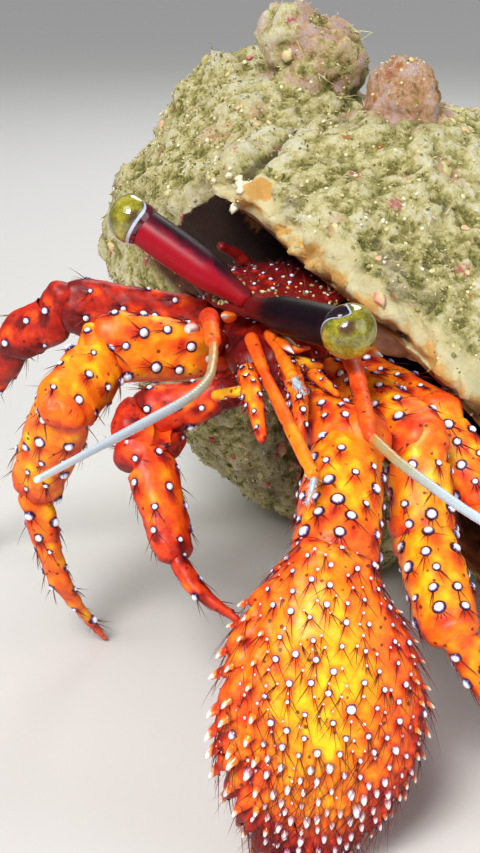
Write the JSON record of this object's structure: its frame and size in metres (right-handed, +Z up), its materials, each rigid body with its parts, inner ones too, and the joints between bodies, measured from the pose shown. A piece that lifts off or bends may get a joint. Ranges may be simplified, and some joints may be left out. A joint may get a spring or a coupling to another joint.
{
  "type": "hermit crab",
  "caption": "Life-size hermit crab standing in the mouth of a large, overgrown sea-snail shell, its big left claw held down in front.",
  "frame": {"origin": "middle of the underside of the bounding box, at floor level", "axes": "+X is the crab's left, -Y is the way it faces, +Z is up"},
  "size_m": [0.1296, 0.182, 0.1055],
  "materials": {
    "cuticle": "glossy red-orange to yellow cuticle with white dark-ringed spots",
    "eyestalk": "glossy crimson",
    "cornea": "polished olive-yellow",
    "feeler": "satin pale blue-grey",
    "soft_body": "moist matt skin",
    "shell": "chalky, overgrown with turf and coralline crust"
  },
  "bodies": {
    "root": {"shell": "shell", "shield": "cuticle", "thorax": "cuticle", "carapace_rear": "soft_body", "abdomen": "soft_body", "cornea_right": "cornea", "eyestalk_right": "eyestalk", "cornea_left": "cornea", "eyestalk_left": "eyestalk", "eye_scale_right": "cuticle", "eye_scale_left": "cuticle", "antenna_base_right": "cuticle", "antenna_scale_right": "cuticle", "antenna_inner_right": "feeler", "antenna_outer_right": "feeler", "antenna_base_left": "cuticle", "antenna_scale_left": "cuticle", "antenna_inner_left": "feeler", "antenna_outer_left": "feeler", "antennule_base_right": "cuticle", "antennule_tip_right": "feeler", "antennule_base_left": "cuticle", "antennule_tip_left": "feeler", "maxilliped_right": "cuticle", "maxilliped_left": "cuticle", "claw_right_ischium": "cuticle", "claw_right_merus": "cuticle", "claw_right_carpus": "cuticle", "claw_right_propodus": "cuticle", "claw_right_dactyl": "cuticle", "claw_left_ischium": "cuticle", "claw_left_merus": "cuticle", "claw_left_carpus": "cuticle", "claw_left_propodus": "cuticle", "claw_left_dactyl": "cuticle", "leg2_right_ischium": "cuticle", "leg2_right_merus": "cuticle", "leg2_right_carpus": "cuticle", "leg2_right_propodus": "cuticle", "leg2_right_dactyl": "cuticle", "leg3_right_ischium": "cuticle", "leg3_right_merus": "cuticle", "leg3_right_carpus": "cuticle", "leg3_right_propodus": "cuticle", "leg3_right_dactyl": "cuticle", "leg2_left_ischium": "cuticle", "leg2_left_merus": "cuticle", "leg2_left_carpus": "cuticle", "leg2_left_propodus": "cuticle", "leg2_left_dactyl": "cuticle", "leg3_left_ischium": "cuticle", "leg3_left_merus": "cuticle", "leg3_left_carpus": "cuticle", "leg3_left_propodus": "cuticle", "leg3_left_dactyl": "cuticle", "leg4_right": "soft_body", "leg4_left": "soft_body", "leg5_right": "soft_body", "leg5_left": "soft_body"}
  },
  "joints": []
}
